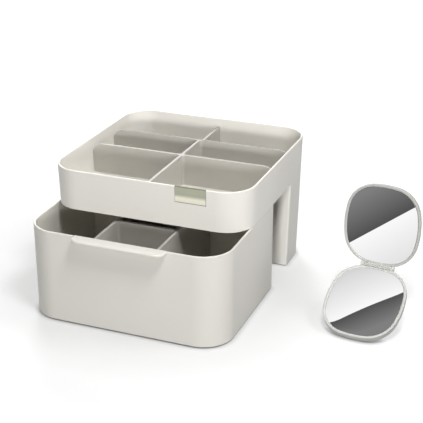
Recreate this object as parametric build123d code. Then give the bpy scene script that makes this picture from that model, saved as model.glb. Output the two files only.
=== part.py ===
from build123d import *
from math import cos, radians, sin, tan
import os

os.makedirs("parts", exist_ok=True)

# Makeup organizer with a loose folding mirror, in millimetres.
# +Z is up and the drawer opens towards -Y. The origin is the middle of the
# non-slip pad under the rear well, on the table.

# Tray and rear well: one moulding
WIDTH = 210.0            # across the rim
DEPTH = 205.0            # front to back at the rim
RIM_HEIGHT = 137.6
CORNER_RADIUS = 30.4
WALL = 2.2
DRAFT = 1.5              # degrees that the outer walls lean in towards the table
RIM_ROUND = 0.8
TRAY_EDGE = 96.0         # lower edge of the tray's wall
TRAY_FLOOR = 99.8        # top of the tray's floor
FLOOR = 2.2
FLOOR_ROUND = 2.0        # inside, where floors meet walls
INNER_ROUND = 3.0        # where dividers meet each other
WELL_DEPTH = 61.5        # front to back of the rear well
WELL_UNDERSIDE = 1.0
WELL_FLOOR = 3.6
WELL_EDGE_ROUND = 2.0    # upright front edges of the well

# Dividers
DIVIDER = 2.8
DIVIDER_TOP = 132.2
WELL_DIVIDER_TOP = 128.5
DIVIDER_END_ROUND = 13.0
CROSS_FROM_FRONT = 95.0
DIVIDER_FOOT = 9.6       # width of the foot where a divider meets the well's front wall
DIVIDER_FOOT_DEPTH = 1.0
SEAT_GAP = 0.15          # glue gap round a fitted divider

# Bare metal plate let into the front rim
PLATE_LEFT = 33.0
PLATE_RIGHT = 65.0
PLATE_BOTTOM = 121.2
PLATE_TOP = 136.8
PLATE_THICKNESS = 1.2
PLATE_GAP = 0.1

# Non-slip pad under the well
PAD_LENGTH = 172.0
PAD_WIDTH = 40.0
PAD_RADIUS = 10.0
PAD_THICKNESS = 1.8
PAD_GAP = 0.3

# Drawer
DRAWER_WIDTH = 207.0
DRAWER_LENGTH = 146.0    # its front stands a little proud of the tray when closed
DRAWER_RIM = 95.4
DRAWER_UNDERSIDE = 1.0
DRAWER_REAR_RADIUS = 4.0
DRAWER_BASE_ROUND = 1.2
DRAWER_FLOOR_ROUND = 1.4
DRAWER_INNER_TOP = 88.6  # top of the rear wall and of the dividers
CLOSED_GAP = 0.4         # between the closed drawer and the well
OPEN_AT_REST = 52.5
COLUMN_X = 33.0          # the two long dividers, either side of the middle
CELL_FROM_FRONT = 62.5   # the short wall in the middle column

# Drawer pull
PULL_LENGTH = 96.6
PULL_REACH = 10.5
PULL_THICKNESS = 3.2
PULL_CORNER = 9.0
PULL_ROUND = 1.2
PULL_ROOT = 7.0          # height of the root that lies against the front

# Glides under the drawer
GLIDE_RADIUS = 7.0
GLIDE_THICKNESS = 1.6
GLIDE_INSET = 24.0

# Runners under the tray, which keep the drawer straight and stop it
RUNNER_GAP = 0.5         # to the drawer's side wall
RUNNER_THICKNESS = 2.2
RUNNER_FLANGE = 9.0
RUNNER_BOTTOM = 91.6
RUNNER_FROM_FRONT = 33.0
STOP_BOTTOM = 86.8
STOP_LENGTH = 5.0
STOP_ROUND = 1.2         # clears the round corner inside the drawer

# Folding mirror: two halves on one hinge
HALF_WIDTH = 38.6
HALF_HEIGHT = 41.2
SIDE_RADIUS = 86.0       # bow of the four sides
MIRROR_CORNER = 29.2
EDGE_GAP = 0.5           # hinge axis to the outline
PARTING = 0.15           # each rim stays this far from the closing plane
BASE_THICKNESS = 7.6
LID_THICKNESS = 5.6
FRAME = 2.7              # width of the visible frame
FRAME_BEVEL = 0.8
FRAME_ROUND = 0.6
BACK_ROUND = 2.4
GLASS_RECESS = 0.7       # glass edge below the rim
FLAT_GLASS = 2.0
DISHED_GLASS = 2.6       # at its edge
DISH_RADIUS = 570.0      # magnifying face
GLASS_GAP = 0.15
TAPE = 0.4
TAPE_INSET = 1.5
MAGNET_RADIUS = 4.0
MAGNET_THICKNESS = 1.2
MAGNET_FROM_END = 12.0
MAGNET_GAP = 0.1

# Mirror hinge
KNUCKLE_RADIUS = 2.0
MIDDLE_KNUCKLE = 26.4    # length of the lid's knuckle
SIDE_KNUCKLE = 3.6       # length of each knuckle of the base
KNUCKLE_GAP = 0.3
PIN_RADIUS = 0.8
PIN_FIT = 0.05

# Prop that stands the mirror up
PROP_FROM_HINGE = 7.5
PROP_DEPTH = 1.3         # pivot above the outer face of the base
PROP_WIDTH = 30.0
PROP_FOOT_WIDTH = 24.0
PROP_THICKNESS = 1.8
PROP_CORNER = 3.0
PROP_BARREL = 1.25
PROP_GAP = 0.4
PROP_PIN_RADIUS = 0.6
PROP_PIN_GRIP = 3.0

# Where and how the mirror stands
HINGE_X = 214.8
HINGE_Y = -92.1
MIRROR_YAW = -5.2        # turn of the hinge from +X
BASE_SLOPE = 31.0        # base half, down from the level
LID_SLOPE = 96.4         # lid half, up from the level towards the front

# Worked-out places
REAR_Y = WELL_DEPTH / 2
FRONT_Y = REAR_Y - DEPTH
MIDDLE_Y = (FRONT_Y + REAR_Y) / 2
WELL_FRONT_Y = -WELL_DEPTH / 2
CROSS_Y = FRONT_Y + CROSS_FROM_FRONT
UNDER_TRAY = TRAY_FLOOR - FLOOR
DRAWER_REAR_Y = WELL_FRONT_Y - CLOSED_GAP - OPEN_AT_REST
DRAWER_FRONT_Y = DRAWER_REAR_Y - DRAWER_LENGTH
DRAWER_MIDDLE_Y = (DRAWER_FRONT_Y + DRAWER_REAR_Y) / 2
DRAWER_FLOOR = DRAWER_UNDERSIDE + FLOOR
DRAWER_INSIDE_X = DRAWER_WIDTH / 2 - WALL
FAR = 400.0              # past the object on every side


def block(x, y, z):
    """Box between pairs of limits."""
    size = Box(x[1] - x[0], y[1] - y[0], z[1] - z[0], align=(Align.MIN, Align.MIN, Align.MIN))
    return Pos(x[0], y[0], z[0]) * size


def at_level(shape, level):
    """Edges that lie flat at one height."""
    return shape.edges().filter_by(lambda e: abs(e.bounding_box().min.Z - level) < 0.01
                                   and abs(e.bounding_box().max.Z - level) < 0.01)


def tray_block(inset, bottom, top):
    """The tray's outline drawn in by inset, between two levels, with the moulding draft."""
    shrink = inset + (RIM_HEIGHT - bottom) * tan(radians(DRAFT))
    plan = RectangleRounded(WIDTH - 2 * shrink, DEPTH - 2 * shrink, CORNER_RADIUS - shrink)
    return extrude(Pos(0, MIDDLE_Y, bottom) * plan, top - bottom, taper=-DRAFT)


def cross_profile(top):
    """Upright slab across the tray, with its top ends rounded off."""
    profile = Pos(0, top / 2) * Rectangle(WIDTH - 2 * WALL, top)
    profile = fillet(profile.vertices().group_by(Axis.Y)[-1], DIVIDER_END_ROUND)
    return extrude(Plane.XZ * profile, FAR, both=True)


def tray_space(gap):
    """Inside of the tray and of the well, on either side of the wall between them."""
    space = tray_block(WALL + gap, WELL_FLOOR, RIM_HEIGHT + 1)
    wall_y = (WELL_FRONT_Y - gap, WELL_FRONT_Y + WALL + gap)
    space -= block((-FAR, FAR), (-FAR, wall_y[0]), (0, TRAY_FLOOR))
    space -= block((-FAR, FAR), wall_y, (0, FAR)) & cross_profile(DIVIDER_TOP)
    floors = at_level(space, TRAY_FLOOR) + at_level(space, WELL_FLOOR)
    return fillet(floors, FLOOR_ROUND)


def make_tray_body():
    body = tray_block(0, WELL_UNDERSIDE, RIM_HEIGHT)
    body -= block((-FAR, FAR), (-FAR, WELL_FRONT_Y), (0, TRAY_EDGE))
    well_edges = body.edges().filter_by(lambda e: abs(e.center().Y - WELL_FRONT_Y) < 0.01
                                        and e.bounding_box().size.Z > TRAY_EDGE / 2)
    body = fillet(well_edges, WELL_EDGE_ROUND)
    body -= tray_space(0)
    body = fillet(at_level(body, RIM_HEIGHT), RIM_ROUND)
    # The floor stands above the wall's lower edge, so the wall hides the runners.
    under = tray_block(WALL, TRAY_EDGE - 1, UNDER_TRAY)
    body -= under & block((-FAR, FAR), (-FAR, WELL_FRONT_Y), (0, FAR))
    seat_x = (PLATE_LEFT - PLATE_GAP, PLATE_RIGHT + PLATE_GAP)
    body -= block(seat_x, (FRONT_Y - 1, FRONT_Y + PLATE_THICKNESS), (PLATE_BOTTOM - PLATE_GAP, FAR))
    body -= block(seat_x, (FRONT_Y - 1, FRONT_Y + 2 * WALL), (PLATE_TOP, FAR))
    pad_seat = RectangleRounded(PAD_LENGTH + 2 * PAD_GAP, PAD_WIDTH + 2 * PAD_GAP, PAD_RADIUS + PAD_GAP)
    body -= extrude(pad_seat, PAD_THICKNESS)
    return body


def make_tray_divider():
    """Spine and cross divider moulded as one, with a foot against the well."""
    spine_end = WELL_FRONT_Y - SEAT_GAP
    spine = Pos(0, (FRONT_Y + spine_end) / 2) * Rectangle(DIVIDER, spine_end - FRONT_Y)
    across = Pos(0, CROSS_Y) * Rectangle(WIDTH, DIVIDER)
    foot = Pos(0, spine_end - DIVIDER_FOOT_DEPTH / 2) * Rectangle(DIVIDER_FOOT, DIVIDER_FOOT_DEPTH)
    plan = spine + across + foot
    inner = plan.vertices().filter_by(lambda v: abs(abs(v.X) - DIVIDER / 2) < 0.01
                                      and FRONT_Y + 1 < v.Y < spine_end - 0.1)
    plan = fillet(inner, INNER_ROUND)
    divider = extrude(plan, DIVIDER_TOP) & tray_space(SEAT_GAP) & cross_profile(DIVIDER_TOP)
    side = block((FRONT_Y + WALL, 0), (0, DIVIDER_TOP), (-FAR, FAR))
    side = fillet(side.edges().filter_by(Axis.Z).group_by(Axis.X)[0].sort_by(Axis.Y)[-1], DIVIDER_END_ROUND)
    return divider & Plane.YZ.location * side


def make_well_divider():
    start = WELL_FRONT_Y + WALL + SEAT_GAP
    plate = Pos(0, (start + REAR_Y) / 2) * Rectangle(DIVIDER, REAR_Y - start)
    foot = Pos(0, start + DIVIDER_FOOT_DEPTH / 2) * Rectangle(DIVIDER_FOOT, DIVIDER_FOOT_DEPTH)
    plan = plate + foot
    inner = plan.vertices().filter_by(lambda v: abs(abs(v.X) - DIVIDER / 2) < 0.01
                                      and start + 0.1 < v.Y < REAR_Y - 1)
    plan = fillet(inner, INNER_ROUND)
    return extrude(plan, WELL_DIVIDER_TOP) & tray_space(SEAT_GAP)


def make_front_plate():
    blank = tray_block(0, TRAY_EDGE, RIM_HEIGHT)
    return blank & block((PLATE_LEFT, PLATE_RIGHT), (FRONT_Y - 1, FRONT_Y + PLATE_THICKNESS),
                         (PLATE_BOTTOM, PLATE_TOP))


def make_non_slip_pad():
    return extrude(RectangleRounded(PAD_LENGTH, PAD_WIDTH, PAD_RADIUS), PAD_THICKNESS)


def make_runner(side):
    """L-shaped runner under the tray's floor, with a stop at its front end."""
    outer = DRAWER_INSIDE_X - RUNNER_GAP
    inner = outer - RUNNER_THICKNESS
    start = FRONT_Y + RUNNER_FROM_FRONT
    end = WELL_FRONT_Y - CLOSED_GAP
    rail = block((outer - RUNNER_FLANGE, outer), (start, end), (TRAY_EDGE, UNDER_TRAY))
    rail += block((inner, outer), (start, end), (RUNNER_BOTTOM, TRAY_EDGE))
    rail += block((inner, outer), (start, start + STOP_LENGTH), (STOP_BOTTOM, RUNNER_BOTTOM))
    # A lead-in at the stop's front lets the drawer be pushed back over it.
    nose = rail.edges().filter_by(Axis.X).group_by(Axis.Z)[0].sort_by(Axis.Y)[0]
    rail = chamfer(nose, RUNNER_THICKNESS)
    stop_end = start + STOP_LENGTH
    heel = rail.edges().filter_by(Axis.Z).filter_by(lambda e: abs(e.center().Y - stop_end) < 0.01)
    rail = fillet(heel.sort_by(Axis.X)[-1], STOP_ROUND)
    return rail if side > 0 else mirror(rail, Plane.YZ)


def drawer_plan(inset):
    """The drawer's outline: broad round front corners, small ones at the rear."""
    plan = Rectangle(DRAWER_WIDTH - 2 * inset, DRAWER_LENGTH - 2 * inset)
    plan = fillet(plan.vertices().group_by(Axis.Y)[0], CORNER_RADIUS - inset)
    rear = plan.vertices().group_by(Axis.Y)[-1]
    plan = fillet(rear, DRAWER_REAR_RADIUS - inset)
    return Pos(0, DRAWER_MIDDLE_Y) * plan


def drawer_hollow(gap):
    space = extrude(Pos(0, 0, DRAWER_FLOOR) * drawer_plan(WALL + gap), DRAWER_RIM)
    return fillet(at_level(space, DRAWER_FLOOR), DRAWER_FLOOR_ROUND)


def pull_seat(gap):
    """Notch in the front rim that the pull sits in."""
    half = PULL_LENGTH / 2 + gap
    return block((-half, half), (DRAWER_FRONT_Y - FAR, DRAWER_FRONT_Y + 2 * WALL),
                 (DRAWER_RIM - PULL_THICKNESS, FAR))


def glide_places():
    x = DRAWER_WIDTH / 2 - GLIDE_INSET
    return [(sx * x, y) for sx in (-1, 1)
            for y in (DRAWER_FRONT_Y + GLIDE_INSET, DRAWER_REAR_Y - GLIDE_INSET)]


def make_drawer_body():
    body = extrude(Pos(0, 0, DRAWER_UNDERSIDE) * drawer_plan(0), DRAWER_RIM - DRAWER_UNDERSIDE)
    body = fillet(at_level(body, DRAWER_UNDERSIDE), DRAWER_BASE_ROUND)
    body -= drawer_hollow(0)
    body = fillet(at_level(body, DRAWER_RIM), RIM_ROUND)
    body -= block((-DRAWER_INSIDE_X, DRAWER_INSIDE_X), (DRAWER_REAR_Y - 2 * DRAWER_REAR_RADIUS, FAR),
                  (DRAWER_INNER_TOP, FAR))
    body -= pull_seat(0)
    for x, y in glide_places():
        body -= Pos(x, y, 0) * Cylinder(GLIDE_RADIUS + PLATE_GAP, 2 * GLIDE_THICKNESS)
    return body


def make_drawer_pull():
    """Lip that stands out from the front rim on a root against the drawer's face."""
    face = DRAWER_FRONT_Y
    lip = DRAWER_RIM - PULL_THICKNESS
    plan = Rectangle(PULL_LENGTH - 2 * PLATE_GAP, PULL_REACH + WALL)
    plan = fillet(plan.vertices().group_by(Axis.Y)[0], PULL_CORNER)
    pull = extrude(Pos(0, face + (WALL - PULL_REACH) / 2, lip) * plan, PULL_THICKNESS)
    rim = pull.edges().filter_by(lambda e: e.center().Y < face - 1 and e.bounding_box().size.Z < 0.01)
    pull = fillet(rim, PULL_ROUND)
    wedge = ((face, lip), (face - PULL_THICKNESS, lip), (face, DRAWER_RIM - PULL_ROOT))
    root = make_face(Polyline(*wedge, close=True))
    return pull + extrude(Plane.YZ * root, PULL_LENGTH / 2 - PULL_CORNER, both=True)


def make_drawer_divider():
    """Two long walls and one short wall between them, moulded as one."""
    plan = Pos(0, DRAWER_FRONT_Y + CELL_FROM_FRONT) * Rectangle(2 * COLUMN_X, DIVIDER)
    for x in (-COLUMN_X, COLUMN_X):
        plan += Pos(x, DRAWER_MIDDLE_Y) * Rectangle(DIVIDER, DRAWER_LENGTH)
    inner = plan.vertices().filter_by(lambda v: abs(v.X) < COLUMN_X
                                      and DRAWER_FRONT_Y + 1 < v.Y < DRAWER_REAR_Y - 1)
    plan = fillet(inner, INNER_ROUND)
    return extrude(plan, DRAWER_INNER_TOP) & drawer_hollow(SEAT_GAP)


def make_drawer_glides():
    pads = [Pos(x, y, GLIDE_THICKNESS / 2) * Cylinder(GLIDE_RADIUS, GLIDE_THICKNESS)
            for x, y in glide_places()]
    return Compound(children=pads)


# The mirror's halves are drawn flat: X along the hinge, Y away from it and Z out of the glass.
BASE_BACK = -PARTING - BASE_THICKNESS
PROP_Z = BASE_BACK + PROP_DEPTH
END_Y = EDGE_GAP + 2 * HALF_HEIGHT


def mirror_outline(inset):
    """Square with bowed sides and broad round corners, made of tangent arcs."""
    side = SIDE_RADIUS - inset
    across = SIDE_RADIUS - HALF_WIDTH
    along = SIDE_RADIUS - HALF_HEIGHT
    plan = Pos(-across, 0) * Circle(side) & Pos(across, 0) * Circle(side)
    plan = plan & Pos(0, -along) * Circle(side) & Pos(0, along) * Circle(side)
    corners = plan.vertices().filter_by(lambda v: min(abs(v.X), abs(v.Y)) > HALF_WIDTH / 2)
    plan = fillet(corners, MIRROR_CORNER - inset)
    return Pos(0, EDGE_GAP + HALF_HEIGHT) * plan


def outline_slab(inset, low, high):
    return extrude(Pos(0, 0, low) * mirror_outline(inset), high - low)


def rod(radius, start, end, y=0.0, z=0.0):
    """Cylinder along X."""
    return Pos((start + end) / 2, y, z) * Rot(0, 90, 0) * Cylinder(radius, end - start)


def knuckle(start, end):
    """Hinge knuckle with the web that carries it, which ends inside the frame."""
    middle = (start + end) / 2
    bow = SIDE_RADIUS - (SIDE_RADIUS ** 2 - middle ** 2) ** 0.5
    web_y = (0, EDGE_GAP + bow + FRAME - FRAME_BEVEL - PARTING)
    web = block((start, end), web_y, (-KNUCKLE_RADIUS, -PARTING))
    return rod(KNUCKLE_RADIUS, start, end) + web


def knuckle_room(start, end):
    """Space round the other half's knuckle."""
    return rod(KNUCKLE_RADIUS + KNUCKLE_GAP, start - KNUCKLE_GAP, end + KNUCKLE_GAP)


def side_knuckles(make):
    inner = MIDDLE_KNUCKLE / 2 + KNUCKLE_GAP
    outer = inner + SIDE_KNUCKLE
    return make(-outer, -inner) + make(inner, outer)


def middle_knuckle(make):
    return make(-MIDDLE_KNUCKLE / 2, MIDDLE_KNUCKLE / 2)


def magnet_place(floor):
    return Pos(0, END_Y - MAGNET_FROM_END, floor - MAGNET_THICKNESS / 2)


def mirror_shell(thickness, glass):
    """Shallow dish with a rounded back and a bevelled frame round the glass."""
    back = -PARTING - thickness
    floor = -PARTING - GLASS_RECESS - glass - TAPE
    shell = outline_slab(0, back, -PARTING)
    shell = fillet(at_level(shell, back), BACK_ROUND)
    shell = fillet(at_level(shell, -PARTING), FRAME_ROUND)
    shell -= outline_slab(FRAME, floor, PARTING)
    bevel = extrude(Pos(0, 0, -PARTING) * mirror_outline(FRAME - FRAME_BEVEL), -FRAME_BEVEL, taper=45)
    shell -= bevel
    shell -= magnet_place(floor) * Cylinder(MAGNET_RADIUS + MAGNET_GAP, MAGNET_THICKNESS)
    return shell


def prop_plan(grow):
    """Outline of the folded prop: wide at the pivot, narrower at the foot."""
    half = PROP_WIDTH / 2 + grow
    foot = PROP_FOOT_WIDTH / 2 + grow
    end = PROP_FROM_HINGE + PROP_LENGTH + grow
    shoulder = PROP_FROM_HINGE + PROP_BARREL + PROP_GAP
    outline = Polyline((-half, PROP_FROM_HINGE), (half, PROP_FROM_HINGE), (half, shoulder),
                       (foot, end), (-foot, end), (-half, shoulder), close=True)
    plan = make_face(outline)
    return fillet(plan.vertices().group_by(Axis.Y)[-1], PROP_CORNER)


# The base rests on the round of its lower edge, and the prop stands upright on the table.
SLOPE = radians(BASE_SLOPE)
ROUND_Y = END_Y - BACK_ROUND
ROUND_Z = BASE_BACK + BACK_ROUND
HINGE_Z = ROUND_Y * sin(SLOPE) - ROUND_Z * cos(SLOPE) + BACK_ROUND
PROP_LENGTH = HINGE_Z - PROP_FROM_HINGE * sin(SLOPE) + PROP_Z * cos(SLOPE)


def make_base_shell():
    shell = mirror_shell(BASE_THICKNESS, DISHED_GLASS)
    shell -= middle_knuckle(knuckle_room)
    shell += side_knuckles(knuckle)
    outer = MIDDLE_KNUCKLE / 2 + KNUCKLE_GAP + SIDE_KNUCKLE
    shell -= rod(PIN_RADIUS + PIN_FIT / 2, -outer, outer)
    seat_top = PROP_Z + PROP_THICKNESS / 2 + PROP_GAP / 2
    shell -= extrude(Pos(0, 0, BASE_BACK - 1) * prop_plan(PROP_GAP), seat_top - BASE_BACK + 1)
    half = PROP_WIDTH / 2 + PROP_GAP
    barrel_y = (PROP_FROM_HINGE - PROP_BARREL - PROP_GAP, PROP_FROM_HINGE + PROP_BARREL)
    shell -= block((-half, half), barrel_y, (BASE_BACK - 1, PROP_Z))
    shell -= rod(PROP_BARREL + PROP_GAP, -half, half, PROP_FROM_HINGE, PROP_Z)
    grip = half + PROP_PIN_GRIP
    shell -= rod(PROP_PIN_RADIUS + PIN_FIT / 2, -grip, grip, PROP_FROM_HINGE, PROP_Z)
    return shell


def make_lid_shell():
    shell = mirror_shell(LID_THICKNESS, FLAT_GLASS)
    shell -= side_knuckles(knuckle_room)
    shell += middle_knuckle(knuckle)
    shell -= rod(PIN_RADIUS + PIN_FIT, -MIDDLE_KNUCKLE, MIDDLE_KNUCKLE)
    return shell


def make_glass(thickness):
    top = -PARTING - GLASS_RECESS
    return outline_slab(FRAME + GLASS_GAP, top - thickness, top)


def make_dished_glass():
    """Magnifying glass: a spherical hollow that just reaches the outline's corners."""
    top = -PARTING - GLASS_RECESS
    ball_z = top + (DISH_RADIUS ** 2 - HALF_HEIGHT ** 2) ** 0.5
    # Turned so that the ball's poles lie far from the glass.
    ball = Pos(0, EDGE_GAP + HALF_HEIGHT, ball_z) * Rot(90, 0, 0) * Sphere(DISH_RADIUS)
    return make_glass(DISHED_GLASS) - ball


def make_tape(glass):
    top = -PARTING - GLASS_RECESS - glass
    return outline_slab(FRAME + TAPE_INSET, top - TAPE, top)


def make_magnet(glass):
    floor = -PARTING - GLASS_RECESS - glass - TAPE
    return magnet_place(floor) * Cylinder(MAGNET_RADIUS, MAGNET_THICKNESS)


def make_hinge_pin():
    reach = MIDDLE_KNUCKLE / 2 + KNUCKLE_GAP + SIDE_KNUCKLE
    return rod(PIN_RADIUS, -reach, reach)


def make_prop():
    """Prop drawn folded, then swung out until it stands upright."""
    low = PROP_Z - PROP_THICKNESS / 2
    leg = extrude(Pos(0, 0, low) * prop_plan(0), PROP_THICKNESS)
    half = PROP_WIDTH / 2
    leg += rod(PROP_BARREL, -half, half, PROP_FROM_HINGE, PROP_Z)
    leg -= rod(PROP_PIN_RADIUS + PIN_FIT, -half, half, PROP_FROM_HINGE, PROP_Z)
    pivot = Pos(0, PROP_FROM_HINGE, PROP_Z)
    return pivot * Rot(BASE_SLOPE - 90, 0, 0) * pivot.inverse() * leg


def make_prop_pin():
    reach = PROP_WIDTH / 2 + PROP_GAP + PROP_PIN_GRIP
    return rod(PROP_PIN_RADIUS, -reach, reach, PROP_FROM_HINGE, PROP_Z)


# Standing place of each half
turn = radians(MIRROR_YAW)
along_hinge = Vector(cos(turn), sin(turn), 0)
forward = Vector(sin(turn), -cos(turn), 0)
upward = Vector(0, 0, 1)
hinge_point = Vector(HINGE_X, HINGE_Y, HINGE_Z)
lid_slope = radians(LID_SLOPE)
base_facing = forward * sin(SLOPE) + upward * cos(SLOPE)
lid_facing = forward * sin(lid_slope) - upward * cos(lid_slope)
BASE_PLACE = Plane(hinge_point, x_dir=-along_hinge, z_dir=base_facing).location
LID_PLACE = Plane(hinge_point, x_dir=along_hinge, z_dir=lid_facing).location

nodes = {
    "tray_body": make_tray_body(),
    "tray_divider": make_tray_divider(),
    "well_divider": make_well_divider(),
    "front_plate": make_front_plate(),
    "non_slip_pad": make_non_slip_pad(),
    "runner_left": make_runner(-1),
    "runner_right": make_runner(1),
    "drawer_body": make_drawer_body(),
    "drawer_pull": make_drawer_pull(),
    "drawer_divider": make_drawer_divider(),
    "drawer_glides": make_drawer_glides(),
    "mirror_base_shell": BASE_PLACE * make_base_shell(),
    "mirror_base_glass": BASE_PLACE * make_dished_glass(),
    "mirror_base_tape": BASE_PLACE * make_tape(DISHED_GLASS),
    "mirror_base_magnet": BASE_PLACE * make_magnet(DISHED_GLASS),
    "mirror_hinge_pin": BASE_PLACE * make_hinge_pin(),
    "mirror_lid_shell": LID_PLACE * make_lid_shell(),
    "mirror_lid_glass": LID_PLACE * make_glass(FLAT_GLASS),
    "mirror_lid_tape": LID_PLACE * make_tape(FLAT_GLASS),
    "mirror_lid_magnet": LID_PLACE * make_magnet(FLAT_GLASS),
    "mirror_prop": BASE_PLACE * make_prop(),
    "mirror_prop_pin": BASE_PLACE * make_prop_pin(),
}

for name, shape in nodes.items():
    export_step(shape, f"parts/{name}.step")
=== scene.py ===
# %% [markdown]
# # Makeup organizer with a folding mirror
# The organizer is an injection-moulded box: a tray that stands on a rear well, and a drawer
# that slides under the tray. A small folding mirror stands beside it. Every solid comes from
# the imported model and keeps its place. What is left for Blender is how the parts look: their
# finishes, one thin fold of trim, the camera, the floor and the light.

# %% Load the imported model
import bmesh
import bpy
from math import cos, radians, sin
from mathutils import Color, Matrix, Vector
from mathutils.geometry import intersect_line_plane


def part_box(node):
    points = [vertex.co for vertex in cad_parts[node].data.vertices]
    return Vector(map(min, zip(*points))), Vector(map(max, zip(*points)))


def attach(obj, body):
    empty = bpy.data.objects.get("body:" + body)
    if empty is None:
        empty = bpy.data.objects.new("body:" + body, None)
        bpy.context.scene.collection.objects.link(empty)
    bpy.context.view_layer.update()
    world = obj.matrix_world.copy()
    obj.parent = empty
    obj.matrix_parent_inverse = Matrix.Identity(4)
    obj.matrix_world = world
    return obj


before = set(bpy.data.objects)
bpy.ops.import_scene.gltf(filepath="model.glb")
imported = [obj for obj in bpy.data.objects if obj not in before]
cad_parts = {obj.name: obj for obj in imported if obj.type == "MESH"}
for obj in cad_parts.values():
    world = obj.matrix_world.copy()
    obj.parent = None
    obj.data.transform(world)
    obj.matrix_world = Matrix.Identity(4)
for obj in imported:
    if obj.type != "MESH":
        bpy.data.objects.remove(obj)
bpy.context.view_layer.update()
MM = 0.001

# %% [markdown]
# ## A small tool for node materials
# A finish in Blender is a graph of nodes. Built by hand it means dragging wires. Built in
# code, the same three steps come back each time: make a node, set its sockets, wire it up.
# One short helper does all three, so that each finish below reads like its recipe.

# %% Make and wire nodes
SHADER = "Principled BSDF"


def new_finish(name):
    """Material with its node tree and its main shader."""
    finish = bpy.data.materials.new(name)
    finish.use_nodes = True
    return finish, finish.node_tree, finish.node_tree.nodes[SHADER]


def plug(tree, socket, value):
    """Wire an output to a socket, or set the socket's own value."""
    if isinstance(value, bpy.types.NodeSocket):
        tree.links.new(value, socket)
    else:
        socket.default_value = value


def add(tree, kind, sockets, **settings):
    """Add a node. A socket's value is a number, a colour or another node's output."""
    node = tree.nodes.new("ShaderNode" + kind)
    for key, value in settings.items():
        setattr(node, key, value)
    for key, value in sockets.items():
        plug(tree, node.inputs[key], value)
    return node


print("main shader:", SHADER)

# %% [markdown]
# ## Words for the recipes
# A real surface is never one flat colour: it drifts a little, and where it drifts its gloss
# does too. So most finishes here let one pattern steer both. A pattern needs a place on the
# piece. That could come from an unwrapped map, but object coordinates need no unwrapping, have
# true lengths, and stay on the piece when it moves.

# %% Colours, patterns and relief
def srgb(red, green, blue):
    """Colour as read on a screen, 0 to 255, in the linear light that Blender counts in."""
    screen = Color((red / 255, green / 255, blue / 255))
    return (*screen.from_srgb_to_scene_linear(), 1.0)


def place(tree, stretch=(1.0, 1.0, 1.0)):
    """Object coordinates in metres, stretched along each axis."""
    spot = add(tree, "TexCoord", {}).outputs["Object"]
    return add(tree, "Mapping", {"Vector": spot, "Scale": stretch}).outputs["Vector"]


def noise(tree, where, per_metre, detail=2.0):
    """Grey cloud from 0 to 1, with that many spots per metre."""
    cloud = {"Vector": where, "Scale": per_metre, "Detail": detail}
    return add(tree, "TexNoise", cloud).outputs["Fac"]


def between(tree, fac, low, high):
    """A 0 to 1 value spread between two numbers."""
    spread = {"Value": fac, "To Min": low, "To Max": high}
    return add(tree, "MapRange", spread).outputs["Result"]


def tint(tree, fac, first, second):
    """A 0 to 1 value that fades one colour into another. A Mix node's colours are 6 and 7."""
    return add(tree, "Mix", {0: fac, 6: first, 7: second}, data_type="RGBA").outputs[2]


def surface(tree, shader, pattern, colours, roughness):
    """Colour and roughness that follow one pattern."""
    plug(tree, shader.inputs["Base Color"], tint(tree, pattern, *colours))
    plug(tree, shader.inputs["Roughness"], between(tree, pattern, *roughness))


def relief(tree, shader, height, depth, strength):
    """Bump on the shader's normal, with the depth of the relief in metres."""
    bump = add(tree, "Bump", {"Height": height, "Distance": depth, "Strength": strength})
    plug(tree, shader.inputs["Normal"], bump.outputs["Normal"])


print("grey 128 on a screen is", round(srgb(128, 128, 128)[0], 3), "in linear light")

# %% [markdown]
# ## Stone-coloured plastic
# The box is moulded in a warm light grey with a fine matt grain, which comes from a
# spark-eroded mould. The grain is a fraction of a millimetre, far too small to model, so it
# is a bump. It could be one noise, but a real mould shows two: the grain itself and a slow
# drift in gloss where the plastic flowed. The drift is kept faint, so the walls stay calm.
# Tray, drawer and dividers differ by a shade: the tray is lighter than the drawer, which is
# painted light and shade, and the dividers are darker, which is painted shade. The dividers are
# also duller.

# %% Stone-coloured plastic
def stone_plastic(name, dark, light, shine):
    """Matt plastic between two shades. Shine is the strength of its highlights."""
    finish, tree, shader = new_finish(name)
    where = place(tree)
    flow = noise(tree, where, per_metre=14.0, detail=3.0)
    grain = noise(tree, where, per_metre=2600.0, detail=1.0)
    surface(tree, shader, flow, (dark, light), roughness=(0.42, 0.52))
    shader.inputs["Specular IOR Level"].default_value = shine
    relief(tree, shader, grain, depth=0.06 * MM, strength=0.5)
    return finish


# The tray's lighter shade and the drawer's darker one are painted light and shade; the dividers'
# darker shade is painted shade.
DIVIDER_PAINTED_SHADE = srgb(189, 186, 179)
TRAY_STONE_PAINTED_LIGHT = stone_plastic("tray_stone_painted_light", srgb(235, 232, 225), srgb(239, 236, 229), shine=0.4)
DRAWER_STONE_PAINTED_SHADE = stone_plastic("drawer_stone_painted_shade", srgb(227, 224, 216), srgb(231, 228, 220), shine=0.4)
DIVIDER_STONE_PAINTED_SHADE = stone_plastic("divider_stone_painted_shade", DIVIDER_PAINTED_SHADE, srgb(193, 190, 183), shine=0.1)
print("finishes:", TRAY_STONE_PAINTED_LIGHT.name, DRAWER_STONE_PAINTED_SHADE.name, DIVIDER_STONE_PAINTED_SHADE.name)

# %% [markdown]
# ## Masks by place
# A finish can differ from one part of a piece to the next. The parts could be painted by hand
# on an unwrapped map. Here a mask is worked out from a spot's own coordinates: each comparison
# gives 1 or 0, and their product is 1 only where all of them hold.

# %% Tools for masks
def spot_xyz(tree):
    """The three coordinates of a spot on the piece."""
    return add(tree, "SeparateXYZ", {"Vector": place(tree)}).outputs


def calc(tree, operation, *values):
    """Sum, product or comparison of values. A comparison gives 1 or 0."""
    return add(tree, "Math", dict(enumerate(values)), operation=operation).outputs[0]


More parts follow.
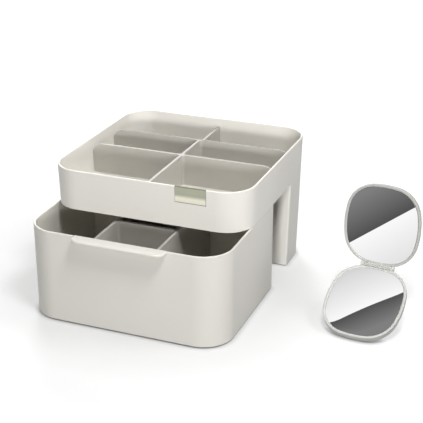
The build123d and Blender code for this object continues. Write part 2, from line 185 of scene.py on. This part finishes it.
def chain(tree, operation, values):
    """One operation carried along a row of values."""
    result = values[0]
    for value in values[1:]:
        result = calc(tree, operation, result, value)
    return result


def wired(shader, name):
    """Output that feeds a socket so far."""
    return shader.inputs[name].links[0].from_socket


print("a mask is 1 on its part and 0 elsewhere")

# %% [markdown]
# ## Wall between tray and well
# This wall is moulded in one with the tray but is painted like a divider, darker, which is
# painted shade, and it is duller. It could be split off as a piece, but then the tray would lose
# its one skin. So a mask finds it inside the tray's finish: it stands between the end of the
# tray's divider and the start of the well's. Only its top and its tray side change, so no line
# shows further down in the well.

# %% Wall between tray and well
RIM_WALL = 2.2 * MM
FLOOR_ROUND = 2.0 * MM
WALL_LEAN = 0.6 * MM
REAR_SKIN = 0.2 * MM
SPINE_LOW, SPINE_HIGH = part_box("tray_divider")
WALL_FOOT = SPINE_LOW[2] + FLOOR_ROUND
WALL_FRONT = SPINE_HIGH[1]
WALL_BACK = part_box("well_divider")[0][1] - REAR_SKIN
WALL_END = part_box("tray_body")[1][0] - RIM_WALL - WALL_LEAN
WALL_ROUGHNESS = 0.9


def paint_shade_on_well_wall(finish):
    """Painted shade, the dividers' darker colour, and a dull surface on the wall between tray and
    well.
    """
    tree = finish.node_tree
    shader = tree.nodes[SHADER]
    spot = spot_xyz(tree)
    tests = [
        calc(tree, "LESS_THAN", calc(tree, "ABSOLUTE", spot["X"]), WALL_END),
        calc(tree, "GREATER_THAN", spot["Y"], WALL_FRONT),
        calc(tree, "LESS_THAN", spot["Y"], WALL_BACK),
        calc(tree, "GREATER_THAN", spot["Z"], WALL_FOOT),
    ]
    on_wall = chain(tree, "MULTIPLY", tests)
    # Painted shade: the mask gives the wall the dividers' darker colour.
    colour = tint(tree, on_wall, wired(shader, "Base Color"), DIVIDER_PAINTED_SHADE)
    roughness = between(tree, on_wall, wired(shader, "Roughness"), WALL_ROUGHNESS)
    plug(tree, shader.inputs["Base Color"], colour)
    plug(tree, shader.inputs["Roughness"], roughness)


paint_shade_on_well_wall(TRAY_STONE_PAINTED_LIGHT)
print("wall from", round(WALL_FRONT / MM, 2), "to", round(WALL_BACK / MM, 2), "mm")

# %% [markdown]
# ## Brushed metal plate
# A thin metal plate is let into the front rim and folds over its edge. It is left bare here.
# Brushing leaves fine scratches that all run the same way. They could be drawn one by one,
# but a noise stretched along the plate gives them at once: few spots along it and thousands
# across it. The scratches change the gloss as well as the height. Its colour fades from a pale
# champagne below to olive towards the rim, along its height: a painted reflection. A thin
# dark line along its foot and sides is painted shade, drawn where a spot is close to the
# plate's outline. The fold is duller and darker than the face; its darker olive is painted
# reflection.

# %% Brushed metal
PLATE_LOW, PLATE_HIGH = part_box("front_plate")
PLATE_HEIGHT = PLATE_HIGH[2] - PLATE_LOW[2]
FADE_SHARES = (0.26, 0.56)
FADE = [PLATE_LOW[2] + share * PLATE_HEIGHT for share in FADE_SHARES]
FOLD_HEIGHT = 0.75 * MM
FOLD_FADE = (PLATE_HIGH[2], PLATE_HIGH[2] + FOLD_HEIGHT)
FOOT_EDGE = 0.5 * MM
SIDE_EDGE = 0.25 * MM
SCRATCHES = (30.0, 3000.0, 3000.0)


def brushed_metal(name, colours, heights, roughness, metallic):
    """Brushed finish whose colour fades from one to another between two heights, a painted
    reflection.
    """
    finish, tree, shader = new_finish(name)
    lines = noise(tree, place(tree, SCRATCHES), per_metre=1.0, detail=4.0)
    climb = {"Value": spot_xyz(tree)["Z"], "From Min": heights[0], "From Max": heights[1]}
    rise = add(tree, "MapRange", climb, interpolation_type="SMOOTHSTEP").outputs["Result"]
    plug(tree, shader.inputs["Base Color"], tint(tree, rise, *colours))
    plug(tree, shader.inputs["Roughness"], between(tree, lines, *roughness))
    shader.inputs["Metallic"].default_value = metallic
    relief(tree, shader, lines, depth=0.02 * MM, strength=0.35)
    return finish


def paint_edge_shade(finish, dark):
    """Painted shade: thin dark lines along the foot and the two sides of the plate."""
    tree = finish.node_tree
    shader = tree.nodes[SHADER]
    spot = spot_xyz(tree)
    from_left = calc(tree, "SUBTRACT", spot["X"], PLATE_LOW[0])
    from_right = calc(tree, "SUBTRACT", PLATE_HIGH[0], spot["X"])
    from_foot = calc(tree, "SUBTRACT", spot["Z"], PLATE_LOW[2])
    at_side = calc(tree, "LESS_THAN", calc(tree, "MINIMUM", from_left, from_right), SIDE_EDGE)
    at_foot = calc(tree, "LESS_THAN", from_foot, FOOT_EDGE)
    edge = calc(tree, "MAXIMUM", at_side, at_foot)
    plug(tree, shader.inputs["Base Color"], tint(tree, edge, wired(shader, "Base Color"), dark))


# Painted reflection: the plate's colour is light below and dark olive above, and the fold's darker
# olive too.
PAINTED_REFLECTION_CHAMPAGNE_TO_OLIVE = (srgb(248, 246, 228), srgb(176, 176, 158))
PAINTED_REFLECTION_DARK_OLIVE = (srgb(134, 135, 118), srgb(120, 121, 105))
PLATE = brushed_metal("brushed_plate", PAINTED_REFLECTION_CHAMPAGNE_TO_OLIVE, FADE, (0.24, 0.42), metallic=0.5)
# Painted shade: thin dark lines along the plate's edges.
paint_edge_shade(PLATE, srgb(90, 90, 78))
BEND = brushed_metal("dull_bend", PAINTED_REFLECTION_DARK_OLIVE, FOLD_FADE, (0.65, 0.8), metallic=0.3)
print("finishes:", PLATE.name, BEND.name)

# %% [markdown]
# ## Hidden plastics, rubber and foam
# The runners and glides are a slippery white plastic, the pad under the well is a grippy
# grey rubber, and the glasses are held by white foam tape. They are mostly out of sight and
# could share one grey, but the object is seen from all sides and moves, so each gets its own
# surface: a soft cloud for the plastic, dots for the grip and open cells for the foam.

# %% Runner plastic, rubber and foam
def cells(tree, where, per_metre):
    """Distance from the middle of the nearest of many scattered cells."""
    return add(tree, "TexVoronoi", {"Vector": where, "Scale": per_metre}).outputs["Distance"]


def runner_plastic():
    """Slippery white plastic with a soft cloud."""
    finish, tree, shader = new_finish("runner_plastic")
    cloud = noise(tree, place(tree), per_metre=220.0, detail=3.0)
    whites = (srgb(224, 223, 219), srgb(232, 231, 227))
    surface(tree, shader, cloud, whites, roughness=(0.28, 0.4))
    relief(tree, shader, cloud, depth=0.03 * MM, strength=0.3)
    return finish


def pad_rubber():
    """Grey rubber with dots for grip."""
    finish, tree, shader = new_finish("pad_rubber")
    where = place(tree)
    cloud = noise(tree, where, per_metre=90.0)
    greys = (srgb(128, 127, 124), srgb(140, 139, 136))
    surface(tree, shader, cloud, greys, roughness=(0.7, 0.85))
    relief(tree, shader, cells(tree, where, per_metre=420.0), depth=0.3 * MM, strength=0.5)
    return finish


def tape_foam():
    """White foam with open pores."""
    finish, tree, shader = new_finish("tape_foam")
    pores = cells(tree, place(tree), per_metre=3000.0)
    whites = (srgb(206, 206, 202), srgb(236, 236, 232))
    surface(tree, shader, pores, whites, roughness=(0.85, 0.95))
    relief(tree, shader, pores, depth=0.1 * MM, strength=0.6)
    return finish


RUNNER = runner_plastic()
RUBBER = pad_rubber()
FOAM = tape_foam()
print("finishes:", RUNNER.name, RUBBER.name, FOAM.name)

# %% [markdown]
# ## Mirror frame
# The mirror's frame is a cooler grey than the box and a little glossier, because its mould is
# polished. It could take the grain of the box, but a polished mould leaves only a slight wave,
# which is a broad, shallow bump. The lid is a shade darker than the base, which is painted shade.

# %% Mirror frame plastic
def mirror_plastic(name, dark, light):
    """Polished plastic between two shades."""
    finish, tree, shader = new_finish(name)
    wave = noise(tree, place(tree), per_metre=120.0)
    surface(tree, shader, wave, (dark, light), roughness=(0.36, 0.44))
    relief(tree, shader, wave, depth=0.04 * MM, strength=0.2)
    return finish


BASE_PLASTIC = mirror_plastic("base_plastic", srgb(199, 200, 195), srgb(204, 205, 200))
# Painted shade: the lid is a shade darker than the base.
LID_PLASTIC_PAINTED_SHADE = mirror_plastic("lid_plastic_painted_shade", srgb(183, 184, 179), srgb(188, 189, 184))
print("finishes:", BASE_PLASTIC.name, LID_PLASTIC_PAINTED_SHADE.name)

# %% [markdown]
# ## Silvered glass
# A mirror could be clear glass over a metal sheet, but then every ray crosses the glass
# twice and the render gets noisy for no gain. Silvered glass looks like a metal that is
# almost perfectly smooth, so that is what it is here, with a trace of wiping marks in its
# gloss.

# %% Silvered glass
def silvered_glass():
    """Nearly perfect mirror with faint wiping marks."""
    finish, tree, shader = new_finish("silvered_glass")
    wipe = noise(tree, place(tree, (1.0, 3.0, 1.0)), per_metre=40.0, detail=3.0)
    silvers = (srgb(247, 248, 247), srgb(250, 250, 250))
    surface(tree, shader, wipe, silvers, roughness=(0.0, 0.012))
    shader.inputs["Metallic"].default_value = 1.0
    return finish


SILVER = silvered_glass()
print("finish:", SILVER.name)

# %% [markdown]
# ## Plated steel
# The hinge pins and the closing magnets are nickel-plated steel. Turned pins carry faint
# rings. Rings could be cut into the mesh, but they are finer than anyone sees, so a noise
# squeezed along the pin gives them.

# %% Plated steel
def plated_steel():
    """Nickel plating with faint turned rings."""
    finish, tree, shader = new_finish("plated_steel")
    rings = noise(tree, place(tree, (4000.0, 200.0, 200.0)), per_metre=1.0)
    nickels = (srgb(186, 184, 178), srgb(204, 202, 196))
    surface(tree, shader, rings, nickels, roughness=(0.2, 0.34))
    shader.inputs["Metallic"].default_value = 1.0
    relief(tree, shader, rings, depth=0.01 * MM, strength=0.3)
    return finish


STEEL = plated_steel()
print("finish:", STEEL.name)

# %% [markdown]
# ## Finish for every node
# Each solid has one material slot, which now takes the finish of its real piece. That could be
# one line for each solid, but a list of names beside each finish makes it plain what is made
# of what.

# %% Assign the finishes
WEARS = {
    TRAY_STONE_PAINTED_LIGHT: ["tray_body"],
    DRAWER_STONE_PAINTED_SHADE: ["drawer_body", "drawer_pull"],
    DIVIDER_STONE_PAINTED_SHADE: ["tray_divider", "well_divider", "drawer_divider"],
    PLATE: ["front_plate"],
    RUNNER: ["runner_left", "runner_right", "drawer_glides"],
    RUBBER: ["non_slip_pad"],
    BASE_PLASTIC: ["mirror_base_shell", "mirror_prop"],
    LID_PLASTIC_PAINTED_SHADE: ["mirror_lid_shell"],
    SILVER: ["mirror_base_glass", "mirror_lid_glass"],
    FOAM: ["mirror_base_tape", "mirror_lid_tape"],
    STEEL: ["mirror_base_magnet", "mirror_lid_magnet", "mirror_hinge_pin", "mirror_prop_pin"],
}
for finish, names in WEARS.items():
    for name in names:
        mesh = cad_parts[name].data
        mesh.materials.clear()
        mesh.materials.append(finish)
    print(finish.name, "on", len(names), "nodes")

# %% [markdown]
# ## Fold of the plate over the rim
# The plate doesn't end at the edge of the rim: its sheet folds over the edge, in a shallow
# notch, and ends at the inner face of the wall. It could be a bent sheet with a thickness,
# but only its outside shows. So a bar fills the notch, and a bevel rounds its two long upper
# edges as a bent sheet is rounded.

# %% Fold of the plate
FOLD_ROUND = 0.6 * MM
FOLD_STEPS = 6
QUARTER_CIRCLE = 0.5
SHARP_ANGLE = radians(40.0)


def fold_bar():
    """Bar in the notch of the rim, with its two long upper edges rounded."""
    size = Vector((PLATE_HIGH[0] - PLATE_LOW[0], RIM_WALL, FOLD_HEIGHT))
    seat = Vector((PLATE_LOW[0], PLATE_LOW[1], PLATE_HIGH[2]))
    middle = seat + size / 2
    bar = bmesh.new()
    bmesh.ops.create_cube(bar, size=1.0)
    bmesh.ops.scale(bar, vec=size, verts=bar.verts)
    bmesh.ops.translate(bar, vec=middle, verts=bar.verts)
    upper = [edge for edge in bar.edges if min(end.co.z for end in edge.verts) > middle.z]
    long_upper = [edge for edge in upper if edge.calc_length() > RIM_WALL * 2]
    rounding = {"offset": FOLD_ROUND, "segments": FOLD_STEPS, "profile": QUARTER_CIRCLE}
    bmesh.ops.bevel(bar, geom=long_upper, affect="EDGES", **rounding)
    return bar


def plate_fold():
    """The fold as a piece that moves with the organizer."""
    mesh = bpy.data.meshes.new("plate_fold")
    bar = fold_bar()
    bar.to_mesh(mesh)
    bar.free()
    mesh.shade_smooth()
    mesh.set_sharp_from_angle(angle=SHARP_ANGLE)
    mesh.materials.append(BEND)
    fold = bpy.data.objects.new("plate_fold", mesh)
    bpy.context.scene.collection.objects.link(fold)
    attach(fold, "organizer")
    return fold


fold = plate_fold()
print(fold.name, [round(side / MM, 2) for side in fold.dimensions], "mm")

# %% [markdown]
# ## Camera
# The photograph was taken from the right front and above. The camera could be moved by eye
# until the picture fits. Its place and its focal length were worked out instead, by fitting a
# box to points on the outline: edges that run away from the viewer meet at one point, which
# fixes the angle, and the tray's width fixes the distance. A long lens keeps the walls nearly
# parallel.

# %% Camera
EYE = Vector((416.3, -1049.3, 521.8)) * MM
AIM = Vector((-0.4, 6.1, 33.8)) * MM
FOCAL_LENGTH = 92.4
SENSOR_WIDTH = 36.0

lens = bpy.data.cameras.new("camera")
lens.lens = FOCAL_LENGTH
lens.sensor_width = SENSOR_WIDTH
camera = bpy.data.objects.new("camera", lens)
camera.location = EYE
camera.rotation_euler = (AIM - EYE).to_track_quat("-Z", "Y").to_euler()
bpy.context.scene.collection.objects.link(camera)
bpy.context.scene.camera = camera
print("camera", round((AIM - EYE).length, 3), "m away")

# %% [markdown]
# ## Floor
# The background is white paper that keeps a soft shadow. White could come from stronger
# lamps, but those would burn out the pale box too. So the floor glows, only for rays that
# come from the camera, from a mirror or through glass. It glows least close to the box, which
# keeps the shadow there, and more in two steps further out, where the lamps fade. Close under
# an edge it hardly glows: ambient occlusion measures how much of the sky a spot sees, and that
# gives the thin dark line where the box meets the table. The light that the floor throws back
# onto the box is that of a greyer paper.

# %% Floor that glows for direct looks
# metres from the box's middle where a step starts and ends, and the glow there
NEAR_STEP = (0.12, 0.20, 0.365, 0.565)
FAR_STEP = (0.25, 0.60, 0.0, 0.435)
BOX_MIDDLE = (0.0, -0.115, 0.0)
CONTACT_REACH = 6 * MM


def seen_directly(tree):
    """1 for rays from the camera, from a mirror or through glass, otherwise 0."""
    path = add(tree, "LightPath", {}).outputs
    kinds = ("Is Camera Ray", "Is Glossy Ray", "Is Transmission Ray")
    return chain(tree, "MAXIMUM", [path[kind] for kind in kinds])


def floor_glow(tree):
    """Strength of the glow: two steps away from the box, cut close under an edge."""
    spot = add(tree, "TexCoord", {}).outputs["Object"]
    ends = {0: spot, 1: BOX_MIDDLE}
    away = add(tree, "VectorMath", ends, operation="DISTANCE").outputs["Value"]
    steps = []
    for start, end, low, high in (NEAR_STEP, FAR_STEP):
        spread = {"Value": away, "From Min": start, "From Max": end, "To Min": low, "To Max": high}
        steps.append(add(tree, "MapRange", spread).outputs["Result"])
    open_sky = add(tree, "AmbientOcclusion", {"Distance": CONTACT_REACH}).outputs["AO"]
    return calc(tree, "MULTIPLY", calc(tree, "ADD", *steps), open_sky)


print("glow from", NEAR_STEP[2], "to", NEAR_STEP[3] + FAR_STEP[3])

# %% Floor
WHITE = (1.0, 1.0, 1.0, 1.0)
FLOOR_HALF = 6.0
FLOOR_BOUNCE = 0.24
PAPER = (srgb(185, 185, 185), srgb(188, 188, 188))


def flat_sheet(name, half):
    """Square with its middle at the origin, facing up."""
    mesh = bpy.data.meshes.new(name)
    corners = [(-half, -half, 0), (half, -half, 0), (half, half, 0), (-half, half, 0)]
    mesh.from_pydata(corners, [], [(0, 1, 2, 3)])
    sheet = bpy.data.objects.new(name, mesh)
    bpy.context.scene.collection.objects.link(sheet)
    return sheet


def floor_paper():
    """White paper for direct looks, and a grey one for the light that it throws back."""
    finish, tree, shader = new_finish("floor_paper")
    tree.nodes.remove(shader)
    fibre = noise(tree, place(tree), per_metre=900.0, detail=3.0)
    white = add(tree, "BsdfDiffuse", {"Color": tint(tree, fibre, *PAPER)})
    glow = add(tree, "Emission", {"Color": WHITE, "Strength": floor_glow(tree)})
    bright = add(tree, "AddShader", {0: white.outputs[0], 1: glow.outputs[0]})
    grey = add(tree, "BsdfDiffuse", {"Color": (FLOOR_BOUNCE, FLOOR_BOUNCE, FLOOR_BOUNCE, 1.0)})
    by_ray = {0: seen_directly(tree), 1: grey.outputs[0], 2: bright.outputs[0]}
    chosen = add(tree, "MixShader", by_ray)
    plug(tree, tree.nodes["Material Output"].inputs["Surface"], chosen.outputs[0])
    return finish


floor = flat_sheet("floor", FLOOR_HALF)
floor.data.materials.append(floor_paper())
print("floor", 2 * FLOOR_HALF, "m wide")

# %% [markdown]
# ## Light
# The walls outside are bright and the dividers inside are darker, so most of the light comes
# from low in front: it reaches over the front rim to the back wall, but not down to the
# dividers. The pull throws a soft shadow down and to the left, so a small lamp stands high on
# the right. A lamp at the side lights the right wall, one behind on the left brightens the
# rims, and a weak one low on the left keeps that side from going dark. The world could light
# everything evenly, but that would wash out the shadows, so it gives no light. It is white
# when it is looked at.

# %% Lamps
LAMP_AIM = Vector((0.0, -0.12, 0.06))
# name, degrees to the right of the front, degrees up, metres away, metres wide, watts
LAMPS = [
    ("front_lamp", 15.0, 8.5, 1.5, 0.25, 11.4),
    ("high_lamp", 45.0, 58.0, 0.8, 0.2, 3.4),
    ("right_lamp", 100.0, 45.0, 1.5, 0.6, 5.6),
    ("back_lamp", -150.0, 30.0, 1.5, 0.6, 15.0),
    ("left_lamp", -100.0, 8.0, 1.5, 0.6, 3.0),
]


def hang_lamp(name, turn, height, away, width, watts):
    """Round lamp that faces the box."""
    data = bpy.data.lights.new(name, "AREA")
    data.shape = "DISK"
    data.size = width
    data.energy = watts
    turn = radians(turn)
    height = radians(height)
    towards = Vector((sin(turn) * cos(height), -cos(turn) * cos(height), sin(height)))
    lamp = bpy.data.objects.new(name, data)
    lamp.location = LAMP_AIM + towards * away
    lamp.rotation_euler = (-towards).to_track_quat("-Z", "Y").to_euler()
    bpy.context.scene.collection.objects.link(lamp)
    print(name, "at", [round(c, 2) for c in lamp.location])


for lamp_facts in LAMPS:
    hang_lamp(*lamp_facts)

# %% World
world = bpy.data.worlds.new("room")
world.use_nodes = True
bpy.context.scene.world = world
background = world.node_tree.nodes["Background"]
background.inputs["Color"].default_value = WHITE
plug(world.node_tree, background.inputs["Strength"], seen_directly(world.node_tree))
print("world:", world.name)

# %% [markdown]
# ## Cards for the mirror to look at
# A mirror shows only what stands in front of it, and in an empty white room it would vanish.
# Photographers hang a card there, half dark and half white, so that the glass shows a crisp
# slanting edge. The card's place could be found by trial, but it follows from the law of
# reflection: a line from the camera to the glass is turned about the glass's normal and
# followed to the card. The cards are part of the studio: only mirror rays see them, and they
# throw no light or shadow.

# %% Work out each glass's middle and normal
FACING_COSINE = 0.7


def glass_face(name):
    """Middle of a glass, its normal, and the level and the upward direction on it."""
    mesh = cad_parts[name].data
    total = Vector()
    middle = Vector()
    area = 0.0
    for face in mesh.polygons:
        if face.normal.dot((EYE - face.center).normalized()) > FACING_COSINE:
            total += face.normal * face.area
            middle += face.center * face.area
            area += face.area
    normal = total.normalized()
    level = Vector((0, 0, 1)).cross(normal).normalized()
    return middle / area, normal, level, normal.cross(level)


for name in ("mirror_lid_glass", "mirror_base_glass"):
    print(name, [[round(c, 3) for c in part] for part in glass_face(name)[:2]])

# %% [markdown]
# ## Lines of sight
# The lid's glass is flat, so its normal is the same all over. The base's glass is a shallow
# dish. Its normals could be read off the mesh, but the dish is part of a ball, so at each spot
# the normal points to the middle of that ball.

# %% Lines of sight
DISH_RADIUS = 0.570
DISH_DIP = 0.66 * MM  # the lowest point of the dish lies this far below the mean of its face


def bounced(point, normal, travel):
    """Follow the line of sight to a point on the glass and on to where it goes from there."""
    sight = (point - EYE).normalized()
    return point + (sight - 2 * sight.dot(normal) * normal) * travel


def sight(glass, spot, travel, dish=None):
    """Point on a glass, from mm along and up it, and where the line of sight goes from there."""
    middle, normal, level, up = glass_face(glass)
    point = middle + level * spot[0] * MM + up * spot[1] * MM
    if dish is not None:
        ball_middle = middle + normal * (dish - DISH_DIP)
        normal = (ball_middle - point).normalized()
        point = ball_middle - normal * dish
    return point, bounced(point, normal, travel)


print("dish radius in mm:", round(DISH_RADIUS / MM))

# %% [markdown]
# ## Two-tone paper
# The card is one sheet whose shade depends on how far a spot is from its middle line: white
# at the line on one side and dark at the line on the other, both fading towards mid grey
# further out. Two sheets side by side could show the same line, but the fade is what makes a
# flat sheet look like a soft studio wall. A dished glass bends a straight line, so the line on
# its card bows the other way.

# %% Two-tone paper
WHITE_AT_LINE = 1.0
DARK_AT_LINE = 0.085
DARK_FAR = 0.225


def fade(tree, distance, reach, at_line, far):
    """Shade that changes from the line out to a distance."""
    spread = {"Value": distance, "From Max": reach, "To Min": at_line, "To Max": far}
    return add(tree, "MapRange", spread).outputs["Result"]


def bowed(tree, half, bow):
    """Distance from a line that bows in its middle and passes its two ends."""
    spot = spot_xyz(tree)
    along = calc(tree, "DIVIDE", spot["X"], half)
    square = calc(tree, "MULTIPLY", along, along)
    line = calc(tree, "MULTIPLY_ADD", square, -bow, bow)
    return calc(tree, "SUBTRACT", spot["Y"], line)


def card_paper(name, half, bow, white_reach, white_far, dark_reach):
    """Glowing paper, white on one side of its line and dark on the other."""
    finish, tree, shader = new_finish(name)
    tree.nodes.remove(shader)
    distance = bowed(tree, half, bow)
    white = fade(tree, distance, -white_reach, WHITE_AT_LINE, white_far)
    dark = fade(tree, distance, dark_reach, DARK_AT_LINE, DARK_FAR)
    dark_side = calc(tree, "GREATER_THAN", distance, 0.0)
    shade = between(tree, dark_side, white, dark)
    glow = add(tree, "Emission", {"Color": WHITE, "Strength": shade})
    plug(tree, tree.nodes["Material Output"].inputs["Surface"], glow.outputs[0])
    return finish


print("shades at the line:", WHITE_AT_LINE, DARK_AT_LINE)

# %% [markdown]
# ## Hang the cards
# Each card is told where its line has to show on the glass, as two places in millimetres
# level along the glass and up it, and how far its white and its dark side have to reach. It
# could be turned by hand until the line fits. Here its axes follow from the two ends of the
# line. It is as small as the glass allows, with a margin.

# %% Hang the cards
CARD_SHARE = 0.75
LID_LINE = ((-31.8, -24.2), (31.6, 25.1))
LID_SPOTS = ((25.5, -28.0), (-25.1, 26.9))
BASE_LINE = ((-26.5, -36.9), (33.9, 18.6))
BASE_SPOTS = ((-20.0, 32.0), (16.0, -33.0))
BASE_RISE = 4.0


def hang_card(name, glass, line, spots, travel, white_far, rise=0.0, dish=None):
    """Card whose line shows on the glass between two places and rises in its middle, in mm.
    The two spots are the far ends of its white and its dark side."""
    start, end = [sight(glass, spot, travel, dish)[1] for spot in line]
    white, dark = [sight(glass, spot, travel, dish)[1] for spot in spots]
    length = (end - start).length
    x_axis = (end - start).normalized()
    across = dark - start
    y_axis = (across - across.dot(x_axis) * x_axis).normalized()
    facing = x_axis.cross(y_axis)
    crest = ((line[0][0] + line[1][0]) / 2, (line[0][1] + line[1][1]) / 2 + rise)
    crown = intersect_line_plane(*sight(glass, crest, travel, dish), start, facing)
    bow = (crown - start).dot(y_axis)
    white_reach = -(white - start).dot(y_axis)
    dark_reach = across.dot(y_axis)
    paper = card_paper(name + "_paper", length / 2, bow, white_reach, white_far, dark_reach)
    card = flat_sheet(name, CARD_SHARE * length)
    turn = Matrix((x_axis, y_axis, facing)).transposed()
    card.matrix_world = Matrix.Translation((start + end) / 2) @ turn.to_4x4()
    card.data.materials.append(paper)
    card.visible_camera = False
    card.visible_diffuse = False
    card.visible_shadow = False
    card.visible_transmission = False
    print(name, [round(c, 3) for c in (start + end) / 2], "bow in mm:", round(bow / MM, 2))


hang_card("lid_card", "mirror_lid_glass", LID_LINE, LID_SPOTS, travel=0.2, white_far=0.82)
hang_card("base_card", "mirror_base_glass", BASE_LINE, BASE_SPOTS, travel=0.18, white_far=0.70,
          rise=BASE_RISE, dish=DISH_RADIUS)

# %% [markdown]
# The picture uses the plain view transform, so a colour comes out as it was mixed. Neither
# the finishes nor the fold change the size of the model.

# %% Finish
bpy.context.scene.view_settings.view_transform = "Standard"
